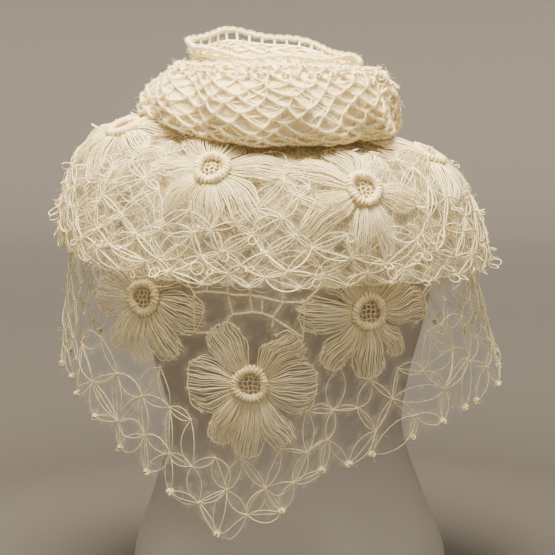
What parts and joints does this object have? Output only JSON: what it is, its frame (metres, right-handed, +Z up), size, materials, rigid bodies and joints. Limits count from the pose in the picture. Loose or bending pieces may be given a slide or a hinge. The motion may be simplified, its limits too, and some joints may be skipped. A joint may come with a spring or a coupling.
{
  "type": "crochet shawl on a dress form",
  "caption": "Lacy mohair shawl worn point forward on a limbless dress form: net wound round the neck, loom flowers over the shoulders, knotted lace hanging to a pointed hem.",
  "frame": {"origin": "centre of the dress form's flat base", "axes": "+Z up, the shawl's point and the front face -Y, +X is to the right as seen from the front"},
  "size_m": [0.4569, 0.3559, 0.6019],
  "materials": {
    "mohair": "soft brushed mohair yarn, ivory",
    "mohair_crochet": "tight crocheted mohair yarn, warm ivory",
    "form_shell": "smooth matte grey shell"
  },
  "bodies": {
    "root": {"dress_form": "form_shell", "neck_wrap_outer": "mohair", "neck_wrap_inner": "mohair", "upper_lace_front": "mohair", "upper_lace_back": "mohair", "lower_lace_front": "mohair", "lower_lace_back": "mohair", "flower_upper_front_left": "mohair", "flower_upper_front_right": "mohair", "flower_upper_right": "mohair", "flower_upper_back_right": "mohair", "flower_upper_back": "mohair", "flower_upper_back_left": "mohair", "flower_upper_left": "mohair", "flower_lower_left": "mohair", "flower_lower_right": "mohair", "flower_lower_point": "mohair", "flower_ring_upper_front_left": "mohair_crochet", "flower_ring_upper_front_right": "mohair_crochet", "flower_ring_upper_right": "mohair_crochet", "flower_ring_upper_back_right": "mohair_crochet", "flower_ring_upper_back": "mohair_crochet", "flower_ring_upper_back_left": "mohair_crochet", "flower_ring_upper_left": "mohair_crochet", "flower_ring_lower_left": "mohair_crochet", "flower_ring_lower_right": "mohair_crochet", "flower_ring_lower_point": "mohair_crochet"}
  },
  "joints": []
}
